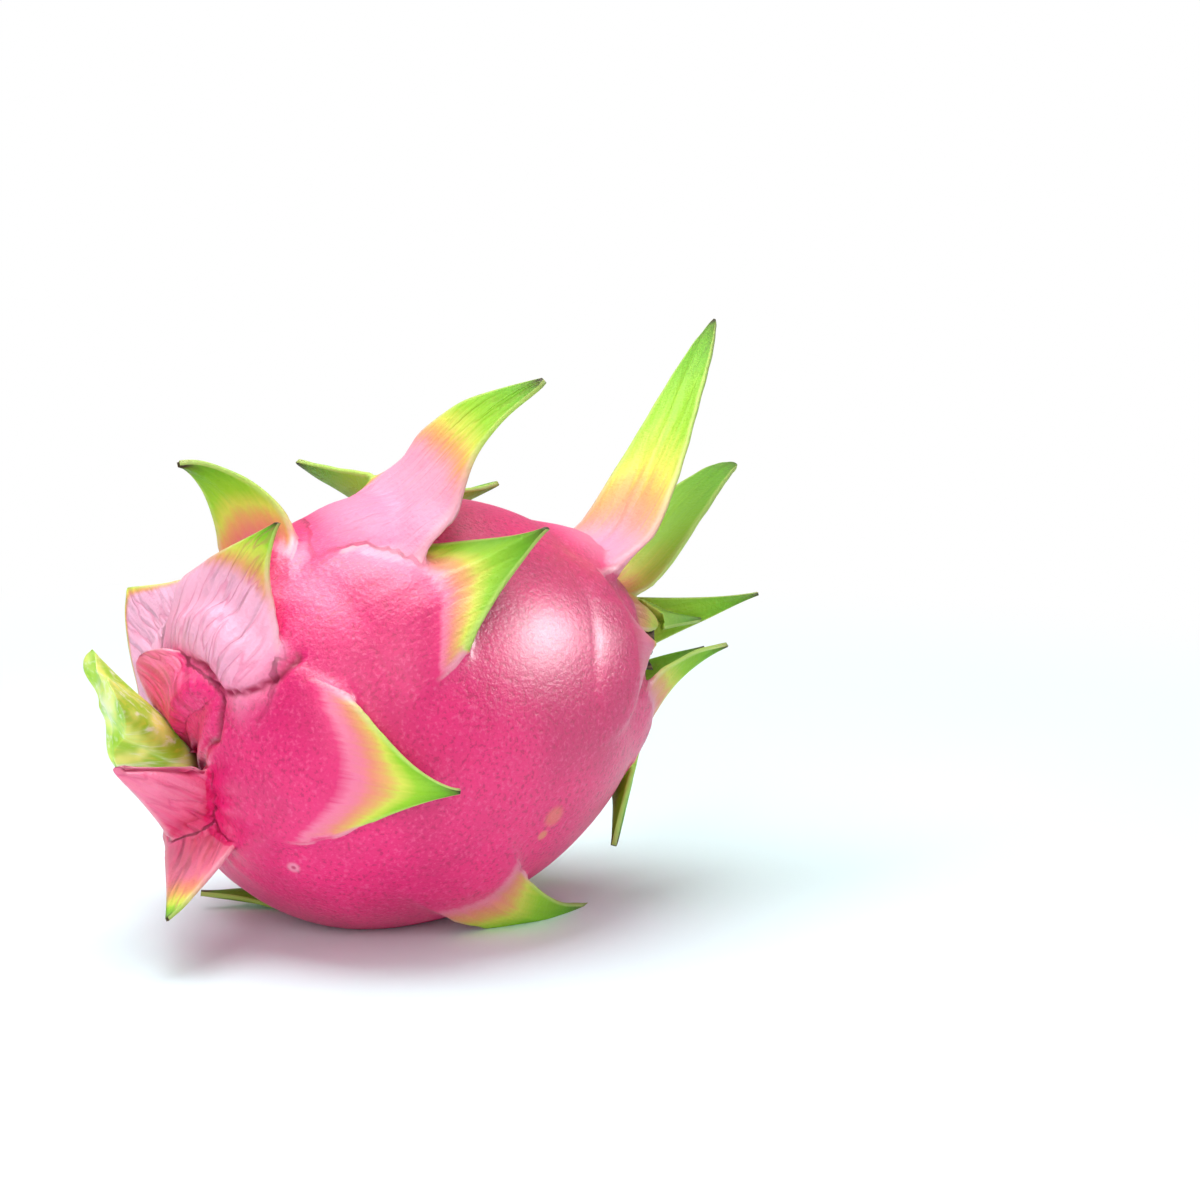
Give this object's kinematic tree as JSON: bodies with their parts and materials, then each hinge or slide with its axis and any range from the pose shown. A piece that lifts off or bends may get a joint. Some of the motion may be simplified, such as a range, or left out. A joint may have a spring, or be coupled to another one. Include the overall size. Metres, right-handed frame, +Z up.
{
  "type": "dragon fruit",
  "caption": "Whole oval dragon fruit lying on its side, with leafy scales, a cut stem and a dried flower end.",
  "frame": {"origin": "centre of the small flat spot under the fruit that it rests on", "axes": "+Z up, +X along the fruit from the stem to the flower end, which lies 12 degrees higher"},
  "size_m": [0.1732, 0.1077, 0.1148],
  "materials": {
    "peel": "soft waxy gloss",
    "stem_flesh": "moist cut plant flesh",
    "dried_petal": "dry, papery, dull"
  },
  "bodies": {
    "root": {"fruit": "peel", "cut_stem": "stem_flesh", "dried_flower": "dried_petal"}
  },
  "joints": []
}
